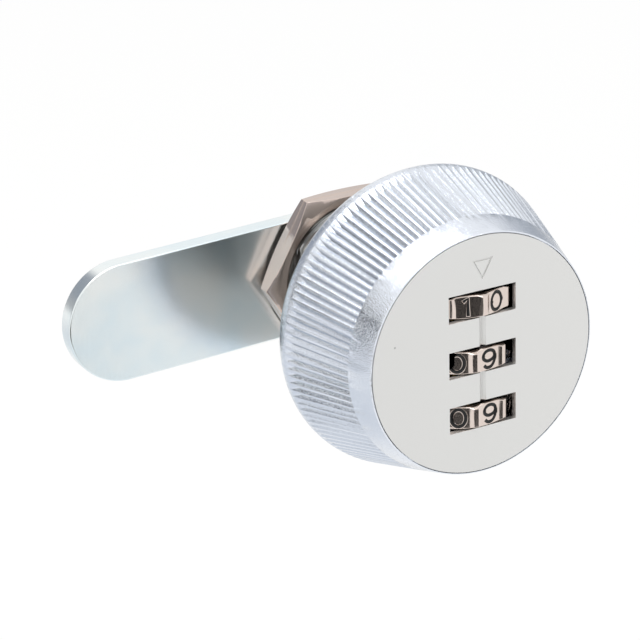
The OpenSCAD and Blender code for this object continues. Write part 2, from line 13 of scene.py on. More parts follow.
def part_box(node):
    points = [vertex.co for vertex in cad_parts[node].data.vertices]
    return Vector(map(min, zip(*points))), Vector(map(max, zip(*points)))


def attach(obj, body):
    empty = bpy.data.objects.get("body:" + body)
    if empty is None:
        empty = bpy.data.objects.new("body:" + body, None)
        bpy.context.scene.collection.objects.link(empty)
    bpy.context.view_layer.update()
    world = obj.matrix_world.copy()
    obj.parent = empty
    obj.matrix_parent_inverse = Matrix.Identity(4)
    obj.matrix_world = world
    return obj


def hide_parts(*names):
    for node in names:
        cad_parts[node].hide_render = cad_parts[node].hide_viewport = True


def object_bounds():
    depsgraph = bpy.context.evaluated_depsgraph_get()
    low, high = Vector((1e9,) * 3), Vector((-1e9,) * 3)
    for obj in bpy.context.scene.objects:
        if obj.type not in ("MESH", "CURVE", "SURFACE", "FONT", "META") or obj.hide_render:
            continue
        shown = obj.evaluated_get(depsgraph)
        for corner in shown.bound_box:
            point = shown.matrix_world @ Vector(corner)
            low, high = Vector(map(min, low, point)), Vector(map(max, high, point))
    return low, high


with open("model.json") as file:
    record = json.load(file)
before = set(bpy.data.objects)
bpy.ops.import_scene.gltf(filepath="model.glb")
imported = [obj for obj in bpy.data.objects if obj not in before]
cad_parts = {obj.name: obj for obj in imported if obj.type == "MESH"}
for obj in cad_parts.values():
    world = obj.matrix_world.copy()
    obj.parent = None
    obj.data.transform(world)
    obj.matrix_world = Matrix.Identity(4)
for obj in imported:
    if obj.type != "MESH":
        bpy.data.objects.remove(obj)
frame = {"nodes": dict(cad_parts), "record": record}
cad_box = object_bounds()

MM = 0.001

# Camera: azimuth from the front towards +X, elevation and roll in degrees, and the point it looks at
VIEW_AZIMUTH = -28.256
VIEW_ELEVATION = 22.467
VIEW_ROLL = -1.688
VIEW_DISTANCE = 347.729 * MM
VIEW_AIM = Vector((-12.6784, 0, 1.0927)) * MM
VIEW_LENS = 156.587
FLOOR_DROP = 75 * MM

# Knob
KNOB_EDGE_BREAK = 0.045 * MM
RIM_ROUNDING = 2.99 * MM
RIM_CENTRE_RADIUS = 16.85 * MM
RIM_CENTRE_Y = -3.4 * MM
RIM_ANGLES = (-9.4, 30)
RIM_RUN_OUT = (19.06 * MM, -5.1 * MM)
RIM_INSIDE = 18.6 * MM

# Face and windows
FACE_RADIUS = 15.47 * MM
FACE_THICKNESS = 0.8 * MM
WINDOW_PITCH = 7.3 * MM
WINDOW_Z = [-0.6 * MM + place * WINDOW_PITCH for place in (1, 0, -1)]
WINDOW_WIDTH = 9.5 * MM
WINDOW_HEIGHT = 3.5 * MM
LINE_WIDTH = 0.95 * MM
LINE_ROUNDING = 0.12 * MM
MARK_WIDTH = 3.0 * MM
MARK_HEIGHT = 2.7 * MM
MARK_POINT_Z = 9.8 * MM
MARK_STROKE = 0.26 * MM
MARK_DEPTH = 0.2 * MM

# Number wheels, from the top one down: where the number 0 of each stands, from the front towards +X
ZERO_ANGLE = [18, -29, -28]
SHAFT_DEPTH = 6.58 * MM
WHEEL_THICKNESS = 3.1 * MM
FLAT_RADIUS = 6.78 * MM
RIB_RADIUS = 7.25 * MM
RIB_WIDTH = 0.65 * MM
WHEEL_CHAMFER = 0.3 * MM
WHEEL_SLOPE = 0.75 * MM
HUB_RADIUS = 2.75 * MM
DIGIT_COUNT = 10
DIGIT_STROKE = 0.52 * MM
DIGIT_DEPTH = 0.2 * MM
DIGIT_EDGE_BREAK = 0.045 * MM
SMALLEST_EDGE = 0.012 * MM

# Base, nut and cam
RING_WALL = 1.4 * MM
SEAT_THICKNESS = 1.9 * MM
NOSE_WIDTH = 1.8 * MM
NOSE_HEIGHT = 4 * MM
NOTCH_GAP = 0.15 * MM
NOTCH_FLOOR_Y = -0.9 * MM
BARREL_RADIUS = 9.5 * MM
BARREL_FLATS = 16 * MM
BORE_RADIUS = 5.55 * MM
SINK_RADIUS = 7.2 * MM
SINK_DEPTH = 4.2 * MM
THREAD_PITCH = 1.0 * MM
THREAD_DEPTH = 0.55 * MM
NUT_ACROSS_FLATS = 22 * MM
HEX_FACE_SHARE = 0.96
NUT_FACE_SHARE = 0.99
NUT_SEAM_WIDTH = 0.3 * MM
NUT_SEAM_HEIGHT = 0.07 * MM
CAM_REACH = 39.3 * MM
CAM_WIDTH = 16 * MM
CAM_LEAN = 2
SQUARE_WIDTH = 8.3 * MM
SCREW_ACROSS_FLATS = 10 * MM
SCREW_RADIUS = 2.5 * MM


def direction(azimuth, elevation):
    """The unit vector towards an azimuth (from the front, towards +X) and an elevation, in degrees."""
    a = math.radians(azimuth)
    e = math.radians(elevation)
    return Vector((math.sin(a) * math.cos(e), -math.cos(a) * math.cos(e), math.sin(e)))


def linear(hex_colour):
    """An sRGB hex value as the linear colour that a shader takes."""
    channels = [int(hex_colour[i:i + 2], 16) / 255 for i in (1, 3, 5)]
    return [c / 12.92 if c <= 0.04045 else ((c + 0.055) / 1.055) ** 2.4 for c in channels] + [1.0]


# Materials

def add_node(tree, kind, settings=(), links=()):
    """Adds one shader node; settings are (name or socket, value) pairs, links are (socket, output) pairs."""
    node = tree.nodes.new(kind)
    for name, value in settings:
        if isinstance(name, str) and hasattr(node, name):
            setattr(node, name, value)
        else:
            node.inputs[name].default_value = value
    for name, output in links:
        tree.links.new(output, node.inputs[name])
    return node


def start_finish(name, colour, roughness, metallic=1.0):
    """A new material and its shader, with the settings that are the same all over."""
    material = bpy.data.materials.new(name)
    material.use_nodes = True
    tree = material.node_tree
    shader = tree.nodes["Principled BSDF"]
    shader.inputs["Base Color"].default_value = linear(colour)
    shader.inputs["Roughness"].default_value = roughness
    shader.inputs["Metallic"].default_value = metallic
    material.diffuse_color = linear(colour)
    return material, tree, shader


def grain(tree, size_mm, stretch=(1, 1, 1), detail=2.0):
    """Noise on Object coordinates whose blobs are about size_mm wide."""
    where = add_node(tree, "ShaderNodeTexCoord")
    mapped = add_node(tree, "ShaderNodeMapping", [("Scale", stretch)], [("Vector", where.outputs["Object"])])
    return add_node(tree, "ShaderNodeTexNoise", [("Scale", 1 / (size_mm * MM)), ("Detail", detail)],
                    [("Vector", mapped.outputs["Vector"])])


def add_bump(tree, shader, height, depth_mm, strength=1.0, before=None):
    """Raises the surface by a pattern, depth_mm high."""
    links = [("Height", height)]
    if before:
        links.append(("Normal", before.outputs["Normal"]))
    bump = add_node(tree, "ShaderNodeBump", [("Strength", strength), ("Distance", depth_mm * MM)], links)
    tree.links.new(bump.outputs["Normal"], shader.inputs["Normal"])
    return bump


def mottle(tree, shader, pattern, dark, light, low=0.35, high=0.65):
    """Lets the base colour drift between two close tones."""
    ramp = add_node(tree, "ShaderNodeMapRange", [("From Min", low), ("From Max", high)],
                    [("Value", pattern)])
    mix = add_node(tree, "ShaderNodeMix", [("data_type", "RGBA"), (6, linear(dark)), (7, linear(light))],
                   [(0, ramp.outputs["Result"])])
    tree.links.new(mix.outputs[2], shader.inputs["Base Color"])


def satin_chrome():
    """Chrome plate on a bead-blasted zinc casting: bright, with a fine crumbly sparkle where it turns dark."""
    material, tree, shader = start_finish("satin_chrome_on_blasted_zinc", "#EEF3FC", 0.12)
    blasted = grain(tree, 0.15, detail=1)
    soft = grain(tree, 2.5)
    first = add_bump(tree, shader, blasted.outputs["Fac"], 0.045, 1.0)
    add_bump(tree, shader, soft.outputs["Fac"], 0.012, 0.4, first)
    return material


def satin_plate():
    """Chrome plate with a fine satin finish: nearly white and even, a few pinholes painted grey as the shade inside
    them, very slight waves.
    """
    material, tree, shader = start_finish("fine_satin_chrome_plate", "#F0F0EF", 0.46)
    where = add_node(tree, "ShaderNodeTexCoord")
    # pinholes about 0.15 mm wide, one here and there; each is dented, and painted grey as painted shade inside the
    # pit
    cells = add_node(tree, "ShaderNodeTexVoronoi", [("Scale", 1 / (4.6 * MM))],
                     [("Vector", where.outputs["Object"])])
    pinhole_and_shade = add_node(tree, "ShaderNodeMapRange", [("From Min", 0.02), ("From Max", 0.04)],
                    [("Value", cells.outputs["Distance"])])
    # painted shade: the base colour turns from near white to grey inside each pinhole
    mix = add_node(tree, "ShaderNodeMix", [("data_type", "RGBA"), (6, linear("#C6C6C5")), (7, linear("#F0F0EF"))],
                   [(0, pinhole_and_shade.outputs["Result"])])
    tree.links.new(mix.outputs[2], shader.inputs["Base Color"])
    waves = grain(tree, 5.0)
    first = add_bump(tree, shader, waves.outputs["Fac"], 0.02, 0.25)
    add_bump(tree, shader, pinhole_and_shade.outputs["Result"], 0.01, 0.6, first)
    return material


def bright_nickel(name, colour, roughness):
    """Bright nickel plate: a warm silver, with faint marks from machining under it."""
    material, tree, shader = start_finish(name, colour, roughness)
    marks = grain(tree, 0.5, (1, 1, 6))
    add_bump(tree, shader, marks.outputs["Fac"], 0.006, 0.5)
    return material


def number_paint():
    """Black filling paint, wiped flush: nearly black and a little shiny."""
    return start_finish("black_filling_paint", "#101113", 0.35, 0.0)[0]


def blue_zinc():
    """Blue-passivated zinc on stamped steel: cool silver that drifts to pale blue and grey, fine pits."""
    material, tree, shader = start_finish("blue_zinc_on_stamped_steel", "#F2FAFD", 0.2)
    drift = grain(tree, 9.0, detail=3)
    mottle(tree, shader, drift.outputs["Fac"], "#EAF7FD", "#FAFEFE")
    pits = grain(tree, 0.35, detail=4)
    waves = grain(tree, 3.0)
    first = add_bump(tree, shader, pits.outputs["Fac"], 0.01, 0.35)
    add_bump(tree, shader, waves.outputs["Fac"], 0.02, 0.4, first)
    return material


def cast_nickel():
    """Nickel on a zinc casting: grey silver, slightly uneven."""
    material, tree, shader = start_finish("nickel_on_zinc_casting", "#AFB0AF", 0.3)
    cast = grain(tree, 0.6, detail=3)
    add_bump(tree, shader, cast.outputs["Fac"], 0.015, 0.5)
    return material


def turned_metal(name, colour, roughness):
    """Turned and plated metal: fine rings left by the tool."""
    material, tree, shader = start_finish(name, colour, roughness)
    rings = grain(tree, 0.4, (1, 4, 1))
    add_bump(tree, shader, rings.outputs["Fac"], 0.005, 0.5)
    return material


KNOB_CHROME = satin_chrome()
FACE_CHROME = satin_plate()
WHEEL_NICKEL = bright_nickel("bright_nickel_wheels", "#E8DAD2", 0.16)
NUT_NICKEL = bright_nickel("bright_nickel_nut", "#DCCBC2", 0.22)
PAINT = number_paint()
CAM_ZINC = blue_zinc()
BASE_NICKEL = cast_nickel()
STEEL = turned_metal("turned_zinc_plated_steel", "#BFC3C5", 0.26)
BRASS = turned_metal("turned_brass", "#D5B56C", 0.25)
SPRING = turned_metal("drawn_spring_steel", "#C6CACC", 0.2)

CAD_FINISHES = {
    "knob_satin_chrome": KNOB_CHROME,
    "face_polished": FACE_CHROME,
    "wheel_nickel": WHEEL_NICKEL,
    "nut_nickel": NUT_NICKEL,
    "cam_zinc": CAM_ZINC,
    "base_zinc": BASE_NICKEL,
    "inner_steel": STEEL,
    "inner_brass": BRASS,
    "spring_steel": SPRING,
}


def dress_cad_nodes():
    """Gives every carried-over node the material of its slot."""
    for part in frame["record"]["subparts"]:
        for place in frame["nodes"][part["node"]].material_slots:
            place.material = CAD_FINISHES[part["material_slot"]]


# Modelling tools

def nothing_selected():
    if bpy.context.object and bpy.context.object.mode != "OBJECT":
        bpy.ops.object.mode_set(mode="OBJECT")
    bpy.ops.object.select_all(action="DESELECT")


def named(name):
    """The object that a primitive operator has just added, under its own name."""
    piece = bpy.context.object
    piece.name = name
    piece.data.name = name
    return piece


def settle(piece):
    """Puts the object at the origin, unturned and unscaled, with its place in its mesh."""
    nothing_selected()
    piece.select_set(True)
    bpy.context.view_layer.objects.active = piece
    bpy.ops.object.transform_apply(location=True, rotation=True, scale=True)
    return piece


def round_bar(name, radius, y0, y1, sides, x=0.0, z=0.0, turn=0.0):
    """A straight bar along Y with so many sides; turn is about its own axis, in degrees."""
    nothing_selected()
    bpy.ops.mesh.primitive_cylinder_add(vertices=sides, radius=radius, depth=y1 - y0,
                                        location=(x, (y0 + y1) / 2, z),
                                        rotation=(math.radians(90), math.radians(turn), 0))
    return settle(named(name))


def block(name, low, high):
    """A box between two corners."""
    nothing_selected()
    bpy.ops.mesh.primitive_cube_add(size=1, location=(Vector(low) + Vector(high)) / 2)
    piece = named(name)
    piece.scale = Vector(high) - Vector(low)
    return settle(piece)


def lathe(name, outline, sides=128, closed=False):
    """A turned piece about the lock's axis, built up ring by ring; outline holds (radius, y).

    It ends in flat discs, or runs back into its first ring where the outline is closed.
    """
    nothing_selected()
    if closed:
        outline = outline + outline[:1]
    radius, y = outline[0]
    bpy.ops.mesh.primitive_circle_add(vertices=sides, radius=radius, fill_type="NOTHING" if closed else "NGON",
                                      location=(0, y, 0), rotation=(math.radians(90), 0, 0))
    piece = settle(named(name))
    bpy.ops.object.mode_set(mode="EDIT")
    bpy.ops.mesh.select_all(action="SELECT")
    for next_radius, next_y in outline[1:]:
        bpy.ops.mesh.extrude_region_move(TRANSFORM_OT_translate={"value": (0, next_y - y, 0)})
        share = next_radius / radius
        bpy.ops.transform.resize(value=(share, 1, share), center_override=(0, next_y, 0))
        radius, y = next_radius, next_y
    bpy.ops.mesh.select_all(action="SELECT")
    bpy.ops.mesh.remove_doubles(threshold=1e-7)
    bpy.ops.mesh.normals_make_consistent(inside=False)
    bpy.ops.object.mode_set(mode="OBJECT")
    return piece


def apply_modifier(piece, kind, settings):
    nothing_selected()
    piece.select_set(True)
    bpy.context.view_layer.objects.active = piece
    modifier = piece.modifiers.new(kind.title(), kind)
    for name, value in settings.items():
        setattr(modifier, name, value)
    bpy.ops.object.modifier_apply(modifier=modifier.name)
    return piece


def cut(piece, tool, operation="DIFFERENCE", self_crossing=False):
    """Cuts piece by tool, or keeps what they share, and takes the tool away."""
    apply_modifier(piece, "BOOLEAN", {"operation": operation, "object": tool, "solver": "EXACT",
                                      "use_self": self_crossing, "material_mode": "TRANSFER"})
    bpy.data.objects.remove(tool)
    return piece


def soften_edges(piece, width, segments=2, angle=30):
    """Breaks the sharp edges, as tumbling or plating leaves them, and shades the rest smooth."""
    apply_modifier(piece, "BEVEL", {"width": width, "segments": segments, "limit_method": "ANGLE",
                                    "angle_limit": math.radians(angle), "use_clamp_overlap": True,
                                    "harden_normals": False, "miter_outer": "MITER_ARC"})
    return smooth(piece)


def smooth(piece, angle=32):
    nothing_selected()
    piece.select_set(True)
    bpy.context.view_layer.objects.active = piece
    bpy.ops.object.shade_smooth_by_angle(angle=math.radians(angle))
    return piece


def even_shading(piece):
    """Keeps large flat faces flat to the eye beside their narrow rounded edges."""
    return apply_modifier(piece, "WEIGHTED_NORMAL", {"keep_sharp": True, "weight": 80})


def paint(piece, material):
    piece.data.materials.clear()
    piece.data.materials.append(material)
    return piece


def finish_piece(piece, body, slot, *nodes):
    """Lets a piece ride on its body and stand for its nodes."""
    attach(piece, body)
    if nodes:
        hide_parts(*nodes)


# Knob

def ridged_knob():
    """The knob's casting with every edge of its ridges, its slots and its rims broken by blasting and plating."""
    solid = frame["nodes"]["knob_shell"]
    knob = bpy.data.objects.new("ridged_knob", solid.data.copy())
    knob.data.name = knob.name
    bpy.context.scene.collection.objects.link(knob)
    nothing_selected()
    knob.select_set(True)
    bpy.context.view_layer.objects.active = knob
    bpy.ops.object.mode_set(mode="EDIT")
    bpy.ops.mesh.select_all(action="SELECT")
    bpy.ops.mesh.remove_doubles(threshold=1e-6)
    bpy.ops.mesh.dissolve_limited(angle_limit=math.radians(0.6))
    bpy.ops.object.mode_set(mode="OBJECT")
    soften_edges(knob, KNOB_EDGE_BREAK, 2, 24)
    rim = plain_rim()
    nothing_selected()
    rim.select_set(True)
    knob.select_set(True)
    bpy.context.view_layer.objects.active = knob
    bpy.ops.object.join()
    return paint(knob, KNOB_CHROME)


def plain_rim(steps=12):
    """Plain rounded rim that closes the rear ends of the grooves; they run out to points on its front slope."""
    start, end = RIM_ANGLES
    angles = [math.radians(start + (end - start) * i / steps) for i in range(steps + 1)]
    outline = [RIM_RUN_OUT] + [(RIM_CENTRE_RADIUS + RIM_ROUNDING * math.cos(a),
                                RIM_CENTRE_Y + RIM_ROUNDING * math.sin(a)) for a in angles]
    back_y = outline[-1][1]
    return smooth(lathe("plain_rim", outline + [(RIM_INSIDE, back_y), (RIM_INSIDE, RIM_RUN_OUT[1])], 360, True))


# Face plate

def mark_tool():
    """Cutter for the triangle mark: a thin line round a triangle that stands on its point."""
    half = MARK_WIDTH / 2
    top = MARK_POINT_Z + MARK_HEIGHT
    nothing_selected()
    bpy.ops.mesh.primitive_circle_add(vertices=3, radius=half, fill_type="NGON", rotation=(math.radians(90), 0, 0))
    tool = settle(named("mark_tool"))
    corners = sorted(tool.data.vertices, key=lambda vertex: vertex.co.x)
    for corner, (x, z) in zip(corners, [(-half, top), (0, MARK_POINT_Z), (half, top)]):
        corner.co = (x, face_y + MARK_DEPTH, z)
    bpy.ops.object.mode_set(mode="EDIT")
    bpy.ops.mesh.select_all(action="SELECT")
    bpy.ops.mesh.inset(thickness=MARK_STROKE)
    bpy.ops.mesh.delete(type="ONLY_FACE")
    bpy.ops.mesh.select_all(action="SELECT")
    bpy.ops.mesh.extrude_region_move(TRANSFORM_OT_translate={"value": (0, -MM, 0)})
    bpy.ops.mesh.select_all(action="SELECT")
    bpy.ops.mesh.normals_make_consistent(inside=False)
    bpy.ops.object.mode_set(mode="OBJECT")
    return tool


def line_tool(low_z, high_z):
    """Cutter for one stretch of the reference line: a groove with sides at 45 degrees and a rounded bottom."""
    side = LINE_WIDTH / math.sqrt(2)
    nothing_selected()
    bpy.ops.mesh.primitive_cube_add(size=1, location=(0, face_y, (low_z + high_z) / 2),
                                    rotation=(0, 0, math.radians(45)))
    tool = named("line_tool")
    tool.scale = (side, side, high_z - low_z)
    settle(tool)
    # the edge at the bottom of the groove is the one that lies furthest back
    for edge in tool.data.edges:
        edge.select = all(tool.data.vertices[i].co.y > face_y + side / 2 for i in edge.vertices)
    bpy.ops.object.mode_set(mode="EDIT")
    bpy.ops.mesh.bevel(offset=LINE_ROUNDING, segments=4)
    bpy.ops.object.mode_set(mode="OBJECT")
    return tool


def face_plate():
    """Thin disc with three windows, the reference line and the triangle mark, its edges just broken."""
    plate = round_bar("face_disc", FACE_RADIUS, face_y, face_y + FACE_THICKNESS, 192)
    for z in WINDOW_Z:
        cut(plate, block("window_tool", (-WINDOW_WIDTH / 2, face_y - MM, z - WINDOW_HEIGHT / 2),
                         (WINDOW_WIDTH / 2, face_y + 2 * MM, z + WINDOW_HEIGHT / 2)))
    for upper, lower in zip(WINDOW_Z, WINDOW_Z[1:]):
        cut(plate, line_tool(lower + MM, upper - MM))
    soften_edges(plate, 0.06 * MM)
    cut(plate, mark_tool())
    return paint(even_shading(smooth(plate)), FACE_CHROME)


# Number wheels

def arc(cx, cz, rx, rz, start, end, steps=14):
    """Points on an oval stroke of a digit, in millimetres, angles counter-clockwise from the right."""
    angles = [math.radians(start + (end - start) * i / steps) for i in range(steps + 1)]
    return [(cx + rx * math.cos(a), cz + rz * math.sin(a)) for a in angles]


# Each digit is a set of strokes on a box about 1.9 wide and 2.3 high, centred, in millimetres
STROKES = {
    0: [arc(0, 0, 0.9, 1.15, 0, 360, 28)],
    1: [[(-0.5, 0.72), (0.14, 1.15), (0.14, -1.15)]],
    2: [arc(0, 0.5, 0.86, 0.65, 165, -38) + [(-0.86, -1.15), (0.92, -1.15)]],
    3: [arc(0, 0.58, 0.76, 0.57, 150, -90) + arc(0, -0.55, 0.88, 0.6, 90, -150)[1:]],
    4: [[(0.42, -1.15), (0.42, 1.15), (-0.92, -0.48), (0.96, -0.48)]],
    5: [[(0.74, 1.15), (-0.6, 1.15), (-0.7, 0.16)] + arc(0, -0.4, 0.9, 0.75, 130, -150)],
    6: [arc(0, -0.44, 0.88, 0.7, 0, 360, 24), [(-0.88, -0.44)] + arc(0.03, 0, 0.91, 1.15, 180, 38)],
    7: [[(-0.86, 1.15), (0.88, 1.15), (-0.3, -1.15)]],
    8: [arc(0, 0.59, 0.68, 0.55, 0, 360, 22), arc(0, -0.56, 0.86, 0.6, 0, 360, 24)],
    9: [arc(0, 0.44, 0.88, 0.7, 0, 360, 24), [(0.88, 0.44)] + arc(-0.03, 0, 0.91, 1.15, 0, -142)],
}


def stroke_tool(points, material):
    """A round engraving cutter along one stroke, on the plane y = 0."""
    closed = (Vector(points[0]) - Vector(points[-1])).length < 1e-6
    if closed:
        points = points[:-1]
    curve = bpy.data.curves.new("stroke", "CURVE")
    curve.dimensions = "3D"
    curve.bevel_depth = DIGIT_STROKE / 2
    curve.bevel_resolution = 2
    curve.use_fill_caps = True
    spline = curve.splines.new("POLY")
    spline.points.add(len(points) - 1)
    for point, (x, z) in zip(spline.points, points):
        point.co = (x * MM, 0, z * MM, 1)
    spline.use_cyclic_u = closed
    curve.materials.append(material)
    tool = bpy.data.objects.new("stroke", curve)
    bpy.context.scene.collection.objects.link(tool)
    nothing_selected()
    tool.select_set(True)
    bpy.context.view_layer.objects.active = tool
    bpy.ops.object.convert(target="MESH")
    return bpy.context.object


def number_wheel(index):
    """Ten flats with a rib between each two and a number engraved and filled in each flat."""
    low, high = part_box(f"dial_wheel_{index + 1}")
    z = (low.z + high.z) / 2
    turn = ZERO_ANGLE[index]
    half_step = math.radians(180 / DIGIT_COUNT)
    nothing_selected()
    # three times too thick, so that the ends of the ribs are cut off with the shoulders
    bpy.ops.mesh.primitive_cylinder_add(vertices=DIGIT_COUNT, radius=FLAT_RADIUS / math.cos(half_step),
                                        depth=3 * WHEEL_THICKNESS, location=(0, shaft_y, z))
    wheel = named(f"number_wheel_{index + 1}")
    # one of the cylinder's corners lies at +Y, so half a step brings a flat to the front
    wheel.rotation_euler.z = math.radians(turn) + half_step
    settle(wheel)
    raise_ribs(wheel, half_step)
    cut(wheel, shouldered_blank(z), "INTERSECT")
    nothing_selected()
    bpy.ops.mesh.primitive_cylinder_add(vertices=48, radius=HUB_RADIUS, depth=3 * WHEEL_THICKNESS,
                                        location=(0, shaft_y, z))
    cut(wheel, named("hub_tool"))
    soften_edges(wheel, 0.07 * MM)
    paint(wheel, WHEEL_NICKEL)
    wheel.data.materials.append(PAINT)
    engrave(wheel, turn, z)
    return even_shading(smooth(wheel))


def raise_ribs(wheel, half_step):
    """Cuts the ten corners to narrow faces and raises each of them as a rib with sloped flanks."""
    flank = RIB_RADIUS - FLAT_RADIUS
    foot = RIB_WIDTH + 2 * flank
    cut_back = foot / 2 / math.cos(half_step)
    foot_radius = FLAT_RADIUS / math.cos(half_step) - cut_back * math.sin(half_step)
    bpy.ops.object.mode_set(mode="EDIT")
    bpy.ops.mesh.select_mode(type="EDGE")
    bpy.ops.mesh.select_all(action="DESELECT")
    bpy.ops.object.mode_set(mode="OBJECT")
    for edge in wheel.data.edges:
        a, b = (wheel.data.vertices[i].co for i in edge.vertices)
        edge.select = abs(a.z - b.z) > WHEEL_THICKNESS
    bpy.ops.object.mode_set(mode="EDIT")
    bpy.ops.mesh.bevel(offset=cut_back, offset_type="OFFSET", segments=1)
    bpy.ops.mesh.select_mode(type="FACE")
    bpy.ops.mesh.select_all(action="DESELECT")
    bpy.ops.object.mode_set(mode="OBJECT")
    for face in wheel.data.polygons:
        width = face.area / (3 * WHEEL_THICKNESS)
        face.select = abs(face.normal.z) < 0.1 and width < foot * 1.1
    bpy.ops.object.mode_set(mode="EDIT")
    bpy.ops.mesh.inset(use_individual=True, thickness=flank, depth=RIB_RADIUS - foot_radius)
    bpy.ops.object.mode_set(mode="OBJECT")


def shouldered_blank(z):
    """Turned blank with sloped shoulders that takes the corners off a wheel's two sides."""
    half = WHEEL_THICKNESS / 2
    end_radius = FLAT_RADIUS - WHEEL_CHAMFER
    nothing_selected()
    bpy.ops.mesh.primitive_circle_add(vertices=120, radius=end_radius, fill_type="NGON",
                                      location=(0, shaft_y, z - half))
    blank = settle(named("blank"))
    bpy.ops.object.mode_set(mode="EDIT")
    wide = (RIB_RADIUS + MM) / end_radius
    for rise, share in ((WHEEL_SLOPE, wide), (2 * half - 2 * WHEEL_SLOPE, 1), (WHEEL_SLOPE, 1 / wide)):
        bpy.ops.mesh.extrude_region_move(TRANSFORM_OT_translate={"value": (0, 0, rise)})
        bpy.ops.transform.resize(value=(share, share, 1), center_override=(0, shaft_y, z))
    bpy.ops.mesh.select_all(action="SELECT")
    bpy.ops.mesh.normals_make_consistent(inside=False)
    bpy.ops.object.mode_set(mode="OBJECT")
    return blank


def engrave(wheel, turn, z):
    """Engraves the ten numbers; the cutter's own material fills them black."""
    tools = []
    for digit, strokes in STROKES.items():
        # the numbers grow to the left, seen from the front
        angle = math.radians(turn - digit * 360 / DIGIT_COUNT)
        place = (Matrix.Translation((0, shaft_y, z)) @ Matrix.Rotation(angle, 4, "Z")
                 @ Matrix.Translation((0, -FLAT_RADIUS - DIGIT_STROKE / 2 + DIGIT_DEPTH, 0)))
        for points in strokes:
            tool = stroke_tool(points, PAINT)
            tool.data.transform(place)
            tools.append(tool)
    nothing_selected()
    for tool in tools:
        tool.select_set(True)
    bpy.context.view_layer.objects.active = tools[0]
    bpy.ops.object.join()
    cut(wheel, tools[0], self_crossing=True)
    break_number_edges(wheel)


def break_number_edges(wheel):
    """Breaks the edges between the paint and the plate, so that each number keeps a thin bright outline."""
    nothing_selected()
    wheel.select_set(True)
    bpy.context.view_layer.objects.active = wheel
    bpy.ops.object.mode_set(mode="EDIT")
    bpy.ops.mesh.select_all(action="SELECT")
    bpy.ops.mesh.remove_doubles(threshold=SMALLEST_EDGE)
    bpy.ops.mesh.select_mode(type="EDGE")
    bpy.ops.mesh.select_all(action="DESELECT")
    bpy.ops.object.mode_set(mode="OBJECT")
    sides = {}
    for face in wheel.data.polygons:
        for key in face.edge_keys:
            sides.setdefault(key, set()).add(face.material_index)
    for edge in wheel.data.edges:
        edge.select = len(sides[edge.key]) == 2
    bpy.ops.object.mode_set(mode="EDIT")
    bpy.ops.mesh.bevel(offset=DIGIT_EDGE_BREAK, segments=1, clamp_overlap=False, material=0)
    bpy.ops.object.mode_set(mode="OBJECT")


# Base, nut and cam

def threaded_barrel(y0, y1, sides=120, rows_per_turn=8):
    """Barrel with a true helical thread, hollow behind, and two flats sawn off it."""
    rows = round((y1 - y0) / THREAD_PITCH * rows_per_turn)
    rise = (y1 - y0) / rows
    nothing_selected()
    bpy.ops.mesh.primitive_circle_add(vertices=sides, radius=BARREL_RADIUS, fill_type="NGON",
                                      location=(0, y0, 0), rotation=(math.radians(90), 0, 0))
    barrel = settle(named("threaded_barrel"))
    bpy.ops.object.mode_set(mode="EDIT")
    for _ in range(rows):
        bpy.ops.mesh.extrude_region_move(TRANSFORM_OT_translate={"value": (0, rise, 0)})
    bpy.ops.mesh.select_all(action="SELECT")
    bpy.ops.mesh.normals_make_consistent(inside=False)
    bpy.ops.object.mode_set(mode="OBJECT")
    for vertex in barrel.data.vertices:
        x, y, z = vertex.co
        phase = ((y - y0) / THREAD_PITCH - math.atan2(z, x) / (2 * math.pi)) % 1
        lead = max(0, min(1, (y1 - y) / THREAD_PITCH, (y - y0) / THREAD_PITCH - 1))
        # a flat crest and a flat root, each a quarter of the pitch wide
        valley = max(0, min(1, 2 - abs(4 * phase - 2) - 0.5))
        share = 1 - THREAD_DEPTH * valley * lead / BARREL_RADIUS
        vertex.co = (x * share, y, z * share)
    for side in (-1, 1):
        bpy.ops.object.mode_set(mode="EDIT")
        bpy.ops.mesh.select_all(action="SELECT")
        bpy.ops.mesh.bisect(plane_co=(side * BARREL_FLATS / 2, 0, 0), plane_no=(side, 0, 0),
                            use_fill=True, clear_outer=True)
        bpy.ops.object.mode_set(mode="OBJECT")
    cut(barrel, round_bar("sink_tool", SINK_RADIUS, y1 - SINK_DEPTH, y1 + MM, 96))
    cut(barrel, round_bar("bore_tool", BORE_RADIUS, y0 - MM, y1 + MM, 96))
    return smooth(barrel, 40)


def cut_nose_notches(flange):
    """Two pockets a quarter turn apart, for the nose of the locking bar."""
    low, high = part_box("locking_bar")
    middle_z = (low.z + high.z) / 2
    inner_x = high.x - NOSE_WIDTH - NOTCH_GAP
    outer_x = high.x + NOTCH_GAP
    reach_z = NOSE_HEIGHT / 2 + NOTCH_GAP
    front_y = -SEAT_THICKNESS - MM
    cut(flange, block("notch_tool", (inner_x, front_y, middle_z - reach_z),
                      (outer_x, NOTCH_FLOOR_Y, middle_z + reach_z)))
    cut(flange, block("notch_tool", (middle_z - reach_z, front_y, -outer_x),
                      (middle_z + reach_z, NOTCH_FLOOR_Y, -inner_x)))


def base_casting():
    """Seat flange with its locating ring in front and the threaded barrel behind, one casting."""
    low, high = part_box("base_body")
    ring_in = high.x - RING_WALL
    flange = lathe("base_casting", [(high.x, 0), (high.x, low.y), (ring_in, low.y), (ring_in, -SEAT_THICKNESS),
                                    (BORE_RADIUS, -SEAT_THICKNESS), (BORE_RADIUS, 0)], closed=True)
    cut_nose_notches(flange)
    soften_edges(flange, 0.12 * MM)
    barrel = threaded_barrel(-0.5 * MM, high.y)
    nothing_selected()
    barrel.select_set(True)
    flange.select_set(True)
    bpy.context.view_layer.objects.active = flange
    bpy.ops.object.join()
    return paint(flange, BASE_NICKEL)


def hexagon(name, across_flats, y0, y1):
    """Hexagonal bar with corners left and right."""
    return round_bar(name, across_flats / math.sqrt(3), y0, y1, 6, turn=90)


